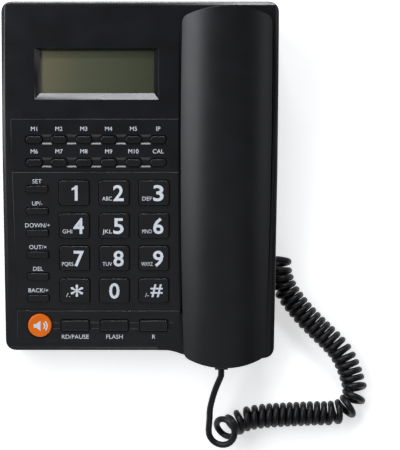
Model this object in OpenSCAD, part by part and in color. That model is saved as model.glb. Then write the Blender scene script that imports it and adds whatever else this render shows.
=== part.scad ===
// Corded desk telephone: a sloped base with a caller display and push keys, a handset that lies in a
// cradle on the right-hand side, and a curly cord between the two.
// Millimetres. +X is to the right as seen by the user, +Y to the back edge, +Z up. The feet stand on z = 0.

/* [Base] */
// Width of the base at its rim
base_w = 160; // [158:1:170]
// How much shorter the base is than the handset, from its back edge to its front edge beside the handset
base_short = 6.7; // [4:0.1:7]
// How far the end of the handset passes the front edge
handset_overhang = 9.3; // [8:0.1:10.5]
// Height of the top at the back edge
back_h = 54; // [53:0.5:56]
// Height of the top at the crease between the display and the memory keys
display_h = 48; // [47.5:0.25:49]
// Height of the top at the crease between the memory keys and the number keys
memory_h = 44; // [43.5:0.25:44.5]
// Height of the top at the front edge
front_h = 23; // [22.5:0.25:24]
// Depth of the display panel
display_d = 67.2; // [66:0.2:69]
// Depth of the memory key panel
memory_d = 30.1; // [29.5:0.1:31]
// How far the foot of the side walls leans in
draft = 6; // [5:0.25:7]
// Radius of the corners seen from above
corner_r = 6; // [5.5:0.25:7]
// Width of the rounded shoulder round the top
shoulder_w = 2.6; // [2.2:0.1:2.6]
// Drop of the rounded shoulder
shoulder_drop = 1.4; // [1:0.1:1.7]
// How far the front edge swells out under the handset
swell = 6.9; // [6:0.1:7.5]
// Thickness of the walls of both covers
wall = 2.2; // [1.8:0.1:2.6]
// Thickness of the floor
floor_t = 2.2; // [2:0.1:3]
// Height of the feet below the floor
foot_h = 1.8; // [1:0.1:2.5]
// Diameter of a foot
foot_d = 12; // [9:0.5:14]
// Height of the joint between the two covers
split_h = 8; // [7:0.25:8.5]
// Height of the raised key panels
panel_rise = 0.5; // [0.3:0.1:0.8]
// Width of the grooves between the key panels
groove_w = 1; // [0.6:0.1:1.4]

/* [Handset] */
// Length of the handset
handset_len = 210; // [208:0.5:212]
// Largest width of the handset
handset_w = 52.2; // [50:0.2:53]
// How much narrower half of it is where the sides bend in most
handset_taper = 1.4; // [1:0.1:1.8]
// Height of the dome of its back over its edge
dome_h = 7; // [6:0.25:8]
// Depth of the side of the back cover below the edge
side_d = 6; // [5.5:0.25:6.5]
// Thickness of the front cover past the cups
end_t = 2; // [1.8:0.1:2.2]
// Depth of the grip below the edge
grip_d = 14; // [13:0.25:14.5]
// Depth of the ear and mouth cups below the edge
cup_d = 24; // [23.5:0.25:24.5]
// Width of a cup
cup_w = 42; // [40:0.5:43]
// Length of a cup
cup_len = 40; // [38:0.5:40.5]
// Distance of each cup's centre from the end of the handset
cup_end = 30.5; // [30.5:0.25:31.5]
// Height of the edge of the handset over the straight line from the front edge of the base to its back edge
handset_rise = 9.36; // [9.36:0.02:10]
// Width of the rim to the right of the handset
rim_w = 4.4; // [4.2:0.1:5]
// Gap between the handset and the sides of its cradle
cradle_gap = 1.3; // [1:0.1:1.5]
// Gap between the handset and what it rests on
rest_gap = 0.3; // [0.2:0.05:0.5]

/* [Display] */
// Width of the clear display window
window_w = 66; // [62:0.5:67]
// Height of the clear display window
window_l = 24.5; // [22:0.5:25]
// Distance from the left edge of the base to the window
window_left = 22.1; // [21.5:0.1:23]
// Distance from the display crease to the window
window_up = 14.8; // [14:0.1:15.5]
// Slope widths of the sunk frame round the window: left, right, front and back
bezel = [3.3, 2.6, 3.8, 1.5];
// Thickness of the window
lens_t = 1.2; // [0.8:0.1:1.6]
// Thickness of the display module
module_t = 4.5; // [3.5:0.1:5]

/* [Keys] */
// Width of a number key
number_w = 17.5; // [16:0.1:18]
// Length of a number key
number_l = 14.5; // [13:0.1:15]
// Distance between number key columns
number_px = 23.3; // [22.5:0.1:23.5]
// Distance between number key rows
number_py = 19.5; // [19:0.1:19.7]
// Distance from the left edge of the base to the first number key column
number_left = 41.55; // [41:0.05:42]
// Distance from the last number key column to the handset
number_right = 15.25; // [15:0.05:16]
// Distance from the crease to the first number key row
number_down = 12.6; // [12:0.1:13]
// Width of a memory key
memory_w = 9.2; // [8.5:0.1:9.6]
// Length of a memory key
memory_l = 3.8; // [3.4:0.1:4.2]
// Distance between memory key columns
memory_px = 14.38; // [14:0.01:14.6]
// Distance between memory key rows
memory_py = 13.35; // [13:0.05:13.6]
// Distance from the left edge of the base to the first memory key column
memory_left = 18.6; // [18:0.1:19]
// Distance from the crease to the first memory key row
memory_down = 11.9; // [11.5:0.1:12.2]
// Distance from the last memory key row to the crease in front of it
memory_front = 5.1; // [5:0.1:5.5]
// Width of a side key
side_w = 12.5; // [11.5:0.1:13]
// Length of a side key
side_l = 3.9; // [3.5:0.1:4.4]
// Distance between side keys
side_py = 13.05; // [12.8:0.05:13.1]
// Distance from the left edge of the base to the side keys
side_left = 20; // [19.5:0.1:20.2]
// Distance from the crease to the first side key
side_down = 10.4; // [10:0.1:11]
// Width of a front key
front_w = 16.6; // [15:0.1:17.5]
// Length of a front key
front_l = 6.2; // [5.5:0.1:6.8]
// Distance from the last number key row to the front keys
front_row = 21.4; // [21:0.1:22]
// Distance from the front keys to the front edge
front_up = 15.56; // [15:0.02:16]
// Diameter of the loudspeaker key
speaker_key_d = 14; // [13:0.1:14.4]
// Height of the keys over the panel they stand in
key_rise = 1.2; // [1.2:0.1:2]
// Travel of a key
key_travel = 1.2; // [0.8:0.1:1.2]
// Gap round a key
key_gap = 0.35; // [0.25:0.05:0.4]
// Width of the flange that keeps a key under the cover
key_flange = 0.8; // [0.7:0.05:0.9]

/* [Inside] */
// Thickness of a circuit board
board_t = 1.6; // [1.2:0.1:1.8]
// Diameter of a screw
screw_d = 2.9; // [2.5:0.1:3]
// Length of a screw under its head
screw_len = 8; // [7.5:0.25:8.5]
// Diameter of a screw head
screw_head_d = 5.4; // [4.8:0.1:5.6]
// Diameter of the loudspeaker
speaker_d = 50; // [44:1:52]
// Diameter of the earpiece receiver
receiver_d = 34; // [28:1:35]
// Diameter of the microphone
microphone_d = 9.7; // [6:0.1:10]
// Width of the line jack
line_jack_w = 13; // [12.6:0.1:14]
// Width of a handset cord jack
cord_jack_w = 11; // [10.6:0.1:11.6]

/* [Cord] */
// Diameter of the cord
cord_d = 3.8; // [3.5:0.1:3.9]
// Outer diameter of the curls
curl_d = 15; // [14.4:0.1:15]
// Least space between two curls
curl_space = 0.55; // [0.55:0.05:0.8]
// Centreline radius of the last, open curl
last_curl_r = 7.8; // [7:0.1:8]

/* [Hidden] */
$fn = 48;
over = 1;
seat = 0.3;
touch = 0.05;

NUMBER_KEYS = ["key_1", "key_2", "key_3", "key_4", "key_5", "key_6",
               "key_7", "key_8", "key_9", "key_star", "key_0", "key_hash"];
MEMORY_KEYS = ["key_m1", "key_m2", "key_m3", "key_m4", "key_m5", "key_ip",
               "key_m6", "key_m7", "key_m8", "key_m9", "key_m10", "key_cal"];
SIDE_KEYS = ["key_set", "key_up", "key_down", "key_out", "key_del", "key_back"];
FRONT_KEYS = ["key_redial", "key_flash", "key_recall"];

// Places along the base
base_d = handset_len - base_short;
left_x = -base_w / 2;
back_y = (base_d + handset_overhang) / 2;
front_y = back_y - base_d;
display_y = back_y - display_d;
memory_y = display_y - memory_d;
display_tilt = atan2(back_h - display_h, display_d);
memory_tilt = atan2(display_h - memory_h, memory_d);
keypad_tilt = atan2(memory_h - front_h, memory_y - front_y);
memory_slope = memory_d / cos(memory_tilt);
keypad_slope = (memory_y - front_y) / cos(keypad_tilt);

// Height of the top over a place y
function top_z(y) =
    y > display_y ? display_h + (y - display_y) * tan(display_tilt) :
    y > memory_y ? memory_h + (y - memory_y) * tan(memory_tilt) :
    memory_h + (y - memory_y) * tan(keypad_tilt);

// Axis of the curls: it leaves the right-hand side, runs forward and to the left and turns up at its end.
// LOW and RISE hold how far each point is to the right of the rim and behind the front edge.
curl_r = (curl_d - cord_d) / 2;
route_z = curl_d / 2 + 0.1;
LOW = [[4.5, 54], [5.2, 45], [8.6, 35.5], [15.2, 26.1], [22.4, 17.7], [29.6, 10.6], [36.2, 4.2],
       [42, -2.6], [46.2, -10.8], [49.3, -20], [50.3, -25.5], [48.5, -32.3], [43.3, -37.4],
       [36.3, -39.3], [26, -39.5], [16, -39.9], [6, -40.4], [-4, -41.1], [-11, -42],
       [-17.3, -43.6]];
RISE = [[-23.5, -46.4, 9.1], [-28.7, -48.7, 13.2], [-31.9, -50.2, 19.2]];
BEND = [[-38.1, -34.5, 21.7], [-35.8, -24.5, 25.6]];
function from_corner(p, z) = [base_w / 2 + p[0], front_y + p[1], z];
ROUTE = concat([for (p = LOW) from_corner(p, route_z)], [for (p = RISE) from_corner(p, p[2])]);
TAIL = [for (p = BEND) from_corner(p, p[2])];

// The handset's own frame: its middle at the height of its edge, x across, y along, z out of its back
handset_tilt = atan2(back_h - front_h, base_d);
handset_x = base_w / 2 - rim_w - handset_w / 2;
handset_y = -back_y + handset_len / 2 * cos(handset_tilt) + dome_h * sin(handset_tilt);
handset_z = front_h + (handset_y - front_y) * tan(handset_tilt) + handset_rise;
cup_off = handset_len / 2 - cup_end;

// The typed places and sizes of the keys fill the width that the handset leaves and the depth of their slopes
field_k = (base_w - rim_w - handset_w) / (number_left + 2 * number_px + number_right);
rows_k = keypad_slope / (number_down + 3 * number_py + front_row + front_up);
memory_k = memory_slope / (memory_down + memory_py + memory_front);
function across(x) = left_x + x * field_k;
number_cap = number_w * field_k;
memory_cap = memory_w * field_k;
side_cap = side_w * field_k;
front_cap = front_w * field_k;
front_down = rows_k * (number_down + 3 * number_py + front_row);

module on_display() { translate([0, display_y, display_h]) rotate([display_tilt, 0, 0]) children(); }
module on_memory() { translate([0, display_y, display_h]) rotate([memory_tilt, 0, 0]) children(); }
module on_keypad() { translate([0, memory_y, memory_h]) rotate([keypad_tilt, 0, 0]) children(); }
module on_handset() { translate([handset_x, handset_y, handset_z]) rotate([handset_tilt, 0, 0]) children(); }

// Plain shapes

module rounded(w, l, r) {
    square([w, l - 2 * r], center = true);
    square([w - 2 * r, l], center = true);
    for (x = [-1, 1], y = [-1, 1]) translate([x * (w / 2 - r), y * (l / 2 - r)]) circle(r);
}

module block(w, l, h) { translate([-w / 2, -l / 2, 0]) cube([w, l, h]); }

// A prism along X whose outline is given as [y, z] points
module bar_x(points, x0, x1) {
    translate([x0, 0, 0]) rotate([90, 0, 90]) linear_extrude(x1 - x0) polygon(points);
}

// Further than any part of the model reaches
far = 150;

// Plan of the base: [x, y, normal x, normal y], counter-clockwise, from the right end of the display crease
function arc(c, r, a0, a1, n, from = 0) =
    [for (i = [from:n]) let (a = a0 + (a1 - a0) * i / n)
        [c[0] + r * cos(a), c[1] + r * sin(a), cos(a), sin(a)]];

corner_steps = 6;
swell_r = 95;
swell_in = 26;
swell_x = base_w / 2 - swell_in;
swell_half = 30;
sweep_len = 9.5;
sweep_steps = 4;
swell_c = [swell_x, front_y - swell + swell_r];
swell_a = 270 - asin(swell_half / swell_r);
swell_drop = front_y - swell_c[1] + sqrt(swell_r * swell_r - swell_half * swell_half);
last_c = [base_w / 2 - corner_r,
          swell_c[1] - sqrt(pow(swell_r - corner_r, 2) - pow(base_w / 2 - corner_r - swell_x, 2))];
last_a = 360 + atan2(last_c[1] - swell_c[1], last_c[0] - swell_x);

function sweep_point(f) =
    let (slope = 2 * swell_drop * f / sweep_len, n = norm([slope, 1]))
    [swell_x - swell_half - sweep_len * (1 - f), front_y - swell_drop * f * f, -slope / n, -1 / n];

base_plan = concat(
    [[base_w / 2, display_y, 1, 0]],
    arc([base_w / 2 - corner_r, back_y - corner_r], corner_r, 0, 90, corner_steps),
    arc([corner_r - base_w / 2, back_y - corner_r], corner_r, 90, 180, corner_steps),
    [[left_x, display_y, -1, 0], [left_x, memory_y, -1, 0]],
    arc([corner_r - base_w / 2, front_y + corner_r], corner_r, 180, 270, corner_steps),
    [for (i = [0:sweep_steps - 1]) sweep_point(i / sweep_steps)],
    arc(swell_c, swell_r, swell_a, last_a, 8),
    arc(last_c, corner_r, last_a, 360, corner_steps, 1),
    [[base_w / 2, memory_y, 1, 0]]);

// The base as one solid down to the table, with every face moved in by inset
shoulder_angle = atan2(shoulder_drop, shoulder_w);
lean_h = 20;
lean_angle = atan2(draft, lean_h);

module shoulder_cut(inset) {
    for (s = [0, 1]) mirror([s, 0, 0]) {
        on_display() side_cut(inset);
        on_memory() side_cut(inset);
        on_keypad() side_cut(inset);
        translate([base_w / 2, 0, lean_h]) rotate([0, lean_angle, 0]) translate([-inset, -far, -far])
            cube([far, 2 * far, 2 * far]);
    }
    on_display() translate([0, display_d / cos(display_tilt) - shoulder_w, 0]) rotate([-shoulder_angle, 0, 0])
        translate([-far, -far, -inset]) cube([2 * far, 2 * far, far]);
    on_keypad() translate([0, shoulder_w - keypad_slope, 0]) rotate([shoulder_angle, 0, 0])
        translate([-far, -far, -inset])
            cube([far + swell_x - swell_half - sweep_len - sweep_steps, 2 * far, far]);
    translate([0, back_y, lean_h]) rotate([-lean_angle, 0, 0]) translate([-far, -inset, -far])
        cube([2 * far, far, 2 * far]);
}

module side_cut(inset) {
    translate([base_w / 2 - shoulder_w, 0, 0]) rotate([0, shoulder_angle, 0]) translate([-far, -far, -inset])
        cube([2 * far, 2 * far, far]);
}

module base_skin(inset = 0) {
    difference() {
        intersection() {
            linear_extrude(far) polygon([for (p = base_plan) [p[0] - p[2] * inset, p[1] - p[3] * inset]]);
            bar_x([[-far, -over], [far, -over], [far, top_z(far) - inset], [display_y, display_h - inset],
                   [memory_y, memory_h - inset], [-far, top_z(-far) - inset]], -far, far);
        }
        shoulder_cut(inset);
    }
}

// Plan of the handset, moved in by inset, with its length drawn in by k
end_r = 55;
end_corner = 5;
wide_u = 36;
side_steps = 10;

function half_w(u) = handset_w / 2 - handset_taper * pow(2 * (u - wide_u) / handset_len, 2);

function handset_side(inset, k) =
    let (
        r = end_r - inset, rc = end_corner - inset, c = handset_len / 2 - end_r,
        xf = half_w(-0.93 * handset_len / 2) - inset - rc, xb = half_w(0.93 * handset_len / 2) - inset - rc,
        uf = c + sqrt(pow(r - rc, 2) - xf * xf), ub = c + sqrt(pow(r - rc, 2) - xb * xb),
        af = atan2(uf - c, xf), ab = atan2(ub - c, xb)
    )
    [for (p = concat(
        arc([0, -c], r, -90, -af, 5),
        arc([xf, -uf], rc, -af, 0, 4, 1),
        [for (i = [1:side_steps - 1]) let (u = -uf + (uf + ub) * i / side_steps) [half_w(u) - inset, u]],
        arc([xb, ub], rc, 0, ab, 4),
        arc([0, c], r, ab, 90, 5, 1))) [p[0], p[1] * k]];

function handset_plan(inset = 0, k = 1) =
    let (s = handset_side(inset, k), n = len(s))
    concat(s, [for (i = [n - 2:-1:1]) [-s[i][0], s[i][1]]]);

// The space that the handset lies in, grown by grow on every side that faces the inside of the base
cup_r = 12;
grip_lean = 6;
grip_edge = 1;
plate_gap = 0.5;
trough_d = 18;
tray_d = side_d + end_t + plate_gap;
tray_lean = grip_lean * (tray_d - side_d - grip_edge) / (grip_d - side_d - grip_edge);
trough_w = handset_w - 2 * tray_lean + cradle_gap;
shrink = cos(handset_tilt);

module well(side, grow) {
    y0 = handset_y + (side * cup_off - cup_len / 2) * shrink + side_d * sin(handset_tilt) - cradle_gap;
    y1 = handset_y + (side * cup_off + cup_len / 2) * shrink + cup_d * sin(handset_tilt) + cradle_gap;
    translate([handset_x, (y0 + y1) / 2, 0]) linear_extrude(far)
        rounded(cup_w + 2 * (cradle_gap + grow), y1 - y0 + 2 * grow, cup_r + grow);
}

module over_plane(d) { on_handset() translate([-far, -far, -d]) cube([2 * far, 2 * far, far]); }

module cradle_space(grow = 0) {
    intersection() {
        translate([handset_x, handset_y, 0]) linear_extrude(far)
            polygon(handset_plan(-cradle_gap - grow, shrink));
        over_plane(tray_d + grow);
    }
    intersection() {
        translate([handset_x, handset_y, 0]) block(trough_w + 2 * grow, 2 * (cup_off * shrink), far);
        over_plane(trough_d + grow);
    }
    intersection() {
        union() { well(1, grow); well(-1, grow); }
        over_plane(cup_d + rest_gap + grow);
    }
}

// Keys

key_top = panel_rise + key_rise;
flange_top = -wall - seat;
flange_t = 1.2;
stem_d = 3.2;
stem_end = flange_top - flange_t - 1.9;
socket_rise = 0.4;
mat_t = 1.2;
mat_edge = 4;
board_top = stem_end - key_travel - 2.9;
dome_top = stem_end + socket_rise;
dome_d = 5.2;

function number_place(i, j) = [across(number_left + i * number_px), -rows_k * (number_down + j * number_py)];
function memory_place(i, j) =
    [across(memory_left + i * memory_px), -memory_k * (memory_down + j * memory_py)];
function number_at(i) = number_place(i % 3, floor(i / 3));
function memory_at(i) = memory_place(i % 6, floor(i / 6));
function side_at(i) = [across(side_left), -rows_k * (side_down + i * side_py)];
function front_at(i) = [across(number_left + i * number_px), -front_down];
speaker_key_off = 0.6;
speaker_key_at = [across(side_left + speaker_key_off), -front_down];

number_r = 1.6;
memory_r = memory_l / 2 - 0.1;
side_r = 0.8;
front_r = 1.2;

// A key round the origin of its panel: a cap, a flange that stays under the cover and a stem
module key_shape(w, l, r) {
    translate([0, 0, flange_top - flange_t / 2]) linear_extrude(key_top - flange_top + flange_t / 2)
        rounded(w, l, r);
    translate([0, 0, flange_top - flange_t]) linear_extrude(flange_t)
        rounded(w + 2 * key_flange, l + 2 * key_flange, r + key_flange);
    translate([0, 0, stem_end]) cylinder(d = stem_d, h = flange_top - stem_end - flange_t / 2);
}

module key_hole(w, l, r) {
    translate([0, 0, -wall - over]) linear_extrude(wall + panel_rise + 2 * over)
        rounded(w + 2 * key_gap, l + 2 * key_gap, r + key_gap);
}

module number_key(i) color("#1b1b1d") on_keypad() translate(number_at(i))
    key_shape(number_cap, number_l, number_r);
module memory_key(i) color("#1b1b1d") on_memory() translate(memory_at(i))
    key_shape(memory_cap, memory_l, memory_r);
module side_key(i) color("#1b1b1d") on_keypad() translate(side_at(i))
    key_shape(side_cap, side_l, side_r);
module front_key(i) color("#1b1b1d") on_keypad() translate(front_at(i))
    key_shape(front_cap, front_l, front_r);

module speaker_key() {
    color("#f07a1e") on_keypad() translate(speaker_key_at) {
        translate([0, 0, flange_top - flange_t / 2])
            cylinder(d = speaker_key_d, h = key_top - flange_top + flange_t / 2);
        translate([0, 0, flange_top - flange_t]) cylinder(d = speaker_key_d + 2 * key_flange, h = flange_t);
        translate([0, 0, stem_end]) cylinder(d = stem_d, h = flange_top - stem_end - flange_t / 2);
    }
}

// Base

panel_left = 4.9;
panel_lean = 2.2;
front_groove = front_down - 9.4;
panel_edge = 5.2;
panel_front = keypad_slope - panel_edge;
panel_right = handset_x - 10;

// A raised panel between two places down a slope, whose left side leans in as it goes
module raised_panel(y0, y1, lean0, lean1) {
    translate([0, 0, -over]) linear_extrude(over + panel_rise)
        polygon([[left_x + panel_left + lean0, -y0], [left_x + panel_left + lean1, -y1],
                 [panel_right, -y1], [panel_right, -y0]]);
}

module raised_panels() {
    lean = panel_lean / (memory_slope + front_groove);
    on_memory() raised_panel(0, memory_slope - groove_w / 2, 0, lean * memory_slope);
    on_keypad() raised_panel(groove_w / 2, front_groove - groove_w / 2, lean * memory_slope, panel_lean);
    on_keypad() raised_panel(front_groove + groove_w / 2, panel_front, panel_lean, panel_lean);
}

// The sunk channel that joins a row of keys, and the sunk ring round each key
channel_d = 0.7;
channel_back = 1.6;
channel_lip = 1.16;
ring_gap = 0.9;

module channel(y, up, down, x0, x1) {
    top = panel_rise + over;
    low = panel_rise - channel_d;
    bar_x([[y + up + over, top], [y + up, panel_rise], [y + up - channel_back, low],
           [y - down + channel_lip, low], [y - down, panel_rise], [y - down, top]], x0, x1);
}

module key_ring(w, l, r) {
    translate([0, 0, panel_rise - channel_d]) linear_extrude(over + channel_d)
        rounded(w + 2 * ring_gap, l + 2 * ring_gap, r + ring_gap);
}

module key_openings() {
    on_keypad() {
        for (i = [0:11]) translate(number_at(i)) key_hole(number_cap, number_l, number_r);
        for (i = [0:5]) translate(side_at(i)) key_hole(side_cap, side_l, side_r);
        for (i = [0:2]) translate(front_at(i)) key_hole(front_cap, front_l, front_r);
        for (i = [0:2]) translate(front_at(i)) key_ring(front_cap, front_l, front_r);
        translate(speaker_key_at) translate([0, 0, -wall - over])
            cylinder(d = speaker_key_d + 2 * key_gap, h = wall + panel_rise + 2 * over);
        translate(speaker_key_at) translate([0, 0, panel_rise - channel_d])
            cylinder(d = speaker_key_d + 2 * ring_gap, h = over + channel_d);
        channel(-front_down, 2.2, 2.7, speaker_key_at[0] + speaker_key_d / 2,
                front_at(2)[0] + front_cap / 2 + 3);
    }
    on_memory() {
        for (i = [0:11]) translate(memory_at(i)) key_hole(memory_cap, memory_l, memory_r);
        for (i = [0:11]) translate(memory_at(i)) key_ring(memory_cap, memory_l, memory_r);
        for (row = [0, 6]) channel(memory_at(row)[1], 3, 2.9, memory_at(row)[0], memory_at(row + 5)[0]);
    }
}

// The sunk frame of the display, widest at the top face
window_x = across(window_left);
window_wide = window_w * field_k;

module window_cut() {
    inner = [[window_x, window_up], [window_x + window_wide, window_up + window_l]];
    k = 1 + over / wall;
    outer = [[inner[0][0] - k * bezel[0], inner[0][1] - k * bezel[2]],
             [inner[1][0] + k * bezel[1], inner[1][1] + k * bezel[3]]];
    corners = function (a, z)
        [[a[0][0], a[0][1], z], [a[1][0], a[0][1], z], [a[1][0], a[1][1], z], [a[0][0], a[1][1], z]];
    on_display() {
        polyhedron(concat(corners(inner, -wall), corners(outer, over)),
                   [[0, 1, 2, 3], [7, 6, 5, 4], [0, 4, 5, 1], [1, 5, 6, 2], [2, 6, 7, 3], [3, 7, 4, 0]]);
        translate([inner[0][0], inner[0][1], -wall - over]) cube([window_wide, window_l, 2 * over]);
    }
}

// Screws that hold the two covers together: [x, y], and those of the boards in their own frames
case_screws = [[left_x + 10, back_y - 10], [handset_x - handset_w / 2 - 6.5, back_y - 10],
               [left_x + 9.5, front_y + 9], [handset_x - handset_w / 2 - 6.5, front_y + 7.4],
               [handset_x, handset_y - 4]];
key_board_screws = [for (i = [0.5, 1.5], j = [0.5, 2.5]) number_place(i, j)];
memory_board_screws = [for (i = [0.5, 4.5]) memory_place(i, 0.5)];

boss_d = 7.6;
small_boss_d = 5;
pilot_d = screw_d + 0.1;
thread_hole_d = screw_d + 0.5;
head_t = 2;
head_z = 5;
inner_floor = foot_h + floor_t;
trough_floor = handset_z - (trough_d + wall) * shrink;

function boss_top(p) = p[0] > handset_x - handset_w / 2 ? trough_floor + 0.6 : top_z(p[1]) - wall / 2;

module board_bosses(places, z) {
    for (p = places) translate([p[0], p[1], z]) cylinder(d = small_boss_d, h = -z - wall / 2);
}

module board_pilots(places, z) {
    for (p = places) translate([p[0], p[1], z - over])
        cylinder(d = pilot_d, h = screw_len - board_t + over + 0.4);
}

// The hook plunger goes through the floor of the ear well
hook_in = 13;
hook_u = cup_off - hook_in;
hook_x = handset_x;
hook_y = handset_y + hook_u * shrink + cup_d * sin(handset_tilt);
hook_w = 10;
hook_l = 4;
hook_gap = 0.4;
hook_top = handset_z + hook_u * sin(handset_tilt) - (cup_d + rest_gap) * shrink - 1;
hook_collar = 2;
hook_collar_t = 1.6;

// Jacks: the line jack in the back wall, the cord jack in the right-hand wall
line_jack_in = 42;
line_jack_x = left_x + line_jack_in;
line_jack_h = 13;
line_jack_len = 15;
line_hole_depth = 12;
line_hole = [10.2, 8];
line_z = inner_floor + 2.5;
line_y = back_y - wall / cos(lean_angle) - draft * (1 - line_z / lean_h) - touch;
cord_jack_h = 10;
cord_jack_len = 11;
plug = [7.6, 6.4];
plug_in = 8.5;
plug_gap = 0.2;
plug_room = 0.5;
cord_jack_y = ROUTE[0][1];
cord_z = route_z + curl_r;
cord_jack_base = cord_z - cord_jack_h / 2;
cord_jack_x = base_w / 2 - wall / cos(lean_angle) - draft * (1 - cord_jack_base / lean_h) - touch;

module line_opening() {
    translate([line_jack_x - line_hole[0] / 2 - 0.6, back_y - wall - draft - over, line_z + 2])
        cube([line_hole[0] + 1.2, wall + draft + 2 * over, line_hole[1] + 1.6]);
}

module cord_opening() {
    translate([base_w / 2 - wall - draft - over, cord_jack_y - plug[0] / 2 - plug_room,
               cord_z - plug[1] / 2 - plug_room])
        cube([wall + draft + 2 * over, plug[0] + 2 * plug_room, plug[1] + 2 * plug_room]);
}

module below_split() { translate([-far, -far, -over]) cube([2 * far, 2 * far, split_h + over]); }

module base_top_cover() color("#202023") {
    difference() {
        union() {
            difference() {
                base_skin();
                base_skin(wall);
                below_split();
            }
            raised_panels();
            intersection() {
                base_skin(wall / 2);
                cradle_space(wall);
            }
            for (p = case_screws) translate([p[0], p[1], split_h])
                cylinder(d = boss_d, h = boss_top(p) - split_h);
            on_keypad() board_bosses(key_board_screws, board_top);
            on_memory() board_bosses(memory_board_screws, board_top);
        }
        cradle_space();
        key_openings();
        window_cut();
        line_opening();
        cord_opening();
        for (p = case_screws) translate([p[0], p[1], split_h - over])
            cylinder(d = pilot_d, h = head_z + screw_len + 1 - split_h + over);
        on_keypad() board_pilots(key_board_screws, board_top);
        on_memory() board_pilots(memory_board_screws, board_top);
        translate([hook_x, hook_y, 0]) block(hook_w + 2 * hook_gap, hook_l + 2 * hook_gap, back_h);
    }
}

// Floor details
speaker_in = [50, 64];
speaker_at = [left_x + speaker_in[0], front_y + speaker_in[1]];
speaker_ring = 1.6;
speaker_gap = 0.3;
speaker_rise = 3;
speaker_h = 13;
floor_sink = 0.5;
grille_slots = 7;
grille_w = 2.4;
grille_pitch = 5.2;
main_board_size = [92, 52];
main_board_in = [34, 11];
main_board_at = [handset_x - main_board_in[0], hook_y - main_board_in[1]];
main_board_z = 12;
main_board_edge = 4;
main_board_screws = [for (x = [-1, 1], y = [-1, 1])
    [main_board_at[0] + x * (main_board_size[0] / 2 - main_board_edge),
     main_board_at[1] + y * (main_board_size[1] / 2 - main_board_edge)]];
foot_inset = [19, 22];
foot_recess = 1;
foot_places = [for (x = [-1, 1], y = [front_y + foot_inset[1], back_y - foot_inset[1]])
    [x * (base_w / 2 - foot_inset[0]), y]];
post_d = 6;
head_gap = 0.8;
speaker_flat = 4;
grille_r = speaker_d / 2 - speaker_flat;

module on_floor(p) { translate([p[0], p[1], foot_h + floor_sink]) children(); }

module base_bottom_cover() color("#232326") {
    difference() {
        union() {
            difference() {
                base_skin();
                translate([-far, -far, split_h]) cube([2 * far, 2 * far, far]);
                difference() {
                    base_skin(wall);
                    translate([-far, -far, -over]) cube([2 * far, 2 * far, inner_floor + over]);
                }
            }
            for (p = case_screws) on_floor(p) cylinder(d = boss_d, h = split_h - foot_h - floor_sink);
            for (p = main_board_screws) on_floor(p)
                cylinder(d = post_d, h = main_board_z - foot_h - floor_sink);
            on_floor(speaker_at) difference() {
                cylinder(d = speaker_d + 2 * speaker_gap + 2 * speaker_ring,
                         h = inner_floor + speaker_rise - foot_h - floor_sink);
                translate([0, 0, -over]) cylinder(d = speaker_d + 2 * speaker_gap, h = speaker_h);
            }
            on_floor([line_jack_x, line_y - line_jack_len / 2])
                block(line_jack_w, line_jack_len, line_z - foot_h - floor_sink);
            on_floor([cord_jack_x - cord_jack_len / 2, cord_jack_y])
                block(cord_jack_len, cord_jack_w, cord_jack_base - foot_h - floor_sink);
        }
        translate([-far, -far, -over]) cube([2 * far, 2 * far, foot_h + over]);
        for (p = case_screws) translate([p[0], p[1], 0]) {
            cylinder(d = thread_hole_d, h = head_z + screw_len);
            cylinder(d = screw_head_d + head_gap, h = head_z);
        }
        for (p = main_board_screws) translate([p[0], p[1], main_board_z + board_t - screw_len - 2 * seat])
            cylinder(d = pilot_d, h = screw_len + over);
        for (p = foot_places) translate([p[0], p[1], 0]) cylinder(d = foot_d + 0.4, h = foot_h + foot_recess);
        translate([speaker_at[0], speaker_at[1], 0]) for (i = [0:grille_slots - 1]) {
            off = (i - (grille_slots - 1) / 2) * grille_pitch;
            translate([off, 0, -over])
                block(grille_w, 2 * sqrt(pow(grille_r, 2) - off * off), inner_floor + 2 * over);
        }
    }
}

module base_feet() color("#303033") for (p = foot_places) translate([p[0], p[1], 0])
    cylinder(d = foot_d, h = foot_h + foot_recess);

lens_rim = 2;
module_rim = [3, 5, 3];

module display_window() color("#9a9a86", 0.5) on_display()
    translate([window_x - lens_rim, window_up - lens_rim, -wall - touch - lens_t])
        cube([window_wide + 2 * lens_rim, window_l + 2 * lens_rim, lens_t]);

module display_module() color("#6f6e58") on_display()
    translate([window_x - module_rim[0], window_up - module_rim[1], -wall - touch - lens_t - seat - module_t])
        cube([window_wide + 2 * module_rim[0], window_l + module_rim[1] + module_rim[2], module_t]);

module main_board() color("#2f6b3a") difference() {
    translate([main_board_at[0], main_board_at[1], main_board_z])
        block(main_board_size[0], main_board_size[1], board_t);
    for (p = main_board_screws) translate([p[0], p[1], 0])
        cylinder(d = thread_hole_d, h = main_board_z + board_t + over);
}

board_left = 11.5;
board_right = handset_x - handset_w / 2 - 3.4;

module slope_board(y0, y1, places) {
    translate([0, 0, board_top - board_t]) difference() {
        translate([left_x + board_left, -y1, 0]) cube([board_right - left_x - board_left, y1 - y0, board_t]);
        for (p = places) translate([p[0], p[1], -over]) cylinder(d = thread_hole_d, h = board_t + 2 * over);
    }
}

module key_board() color("#2f6b3a") on_keypad() slope_board(2.5, front_down + 3.5, key_board_screws);
module memory_board() color("#2f6b3a") on_memory() slope_board(3.5, memory_slope - 2, memory_board_screws);

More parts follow.
